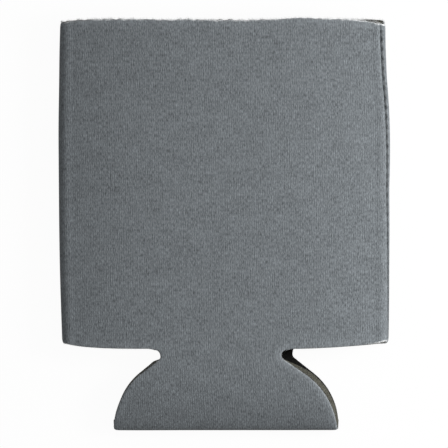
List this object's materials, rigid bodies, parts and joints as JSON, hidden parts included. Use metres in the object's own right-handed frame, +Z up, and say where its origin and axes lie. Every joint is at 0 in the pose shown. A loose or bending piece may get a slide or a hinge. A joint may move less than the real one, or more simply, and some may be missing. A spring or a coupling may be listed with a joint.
{
  "type": "can cooler sleeve",
  "caption": "Folding foam can cooler sleeve with a grey knit face, lying flat: open mouth, stitched sides and a half-round base that folds in two.",
  "frame": {"origin": "centre of the sleeve's box, on the surface that its back panel lies on", "axes": "+X across the sleeve, +Y out of its open mouth, +Z up through its thickness to the front panel"},
  "size_m": [0.1021, 0.1268, 0.0114],
  "materials": {
    "knit_faced_foam": "matte grey knit on black foam",
    "thread": "matte"
  },
  "bodies": {
    "root": {"sleeve": "knit_faced_foam", "seam_thread_left": "thread", "seam_thread_right": "thread"}
  },
  "joints": []
}
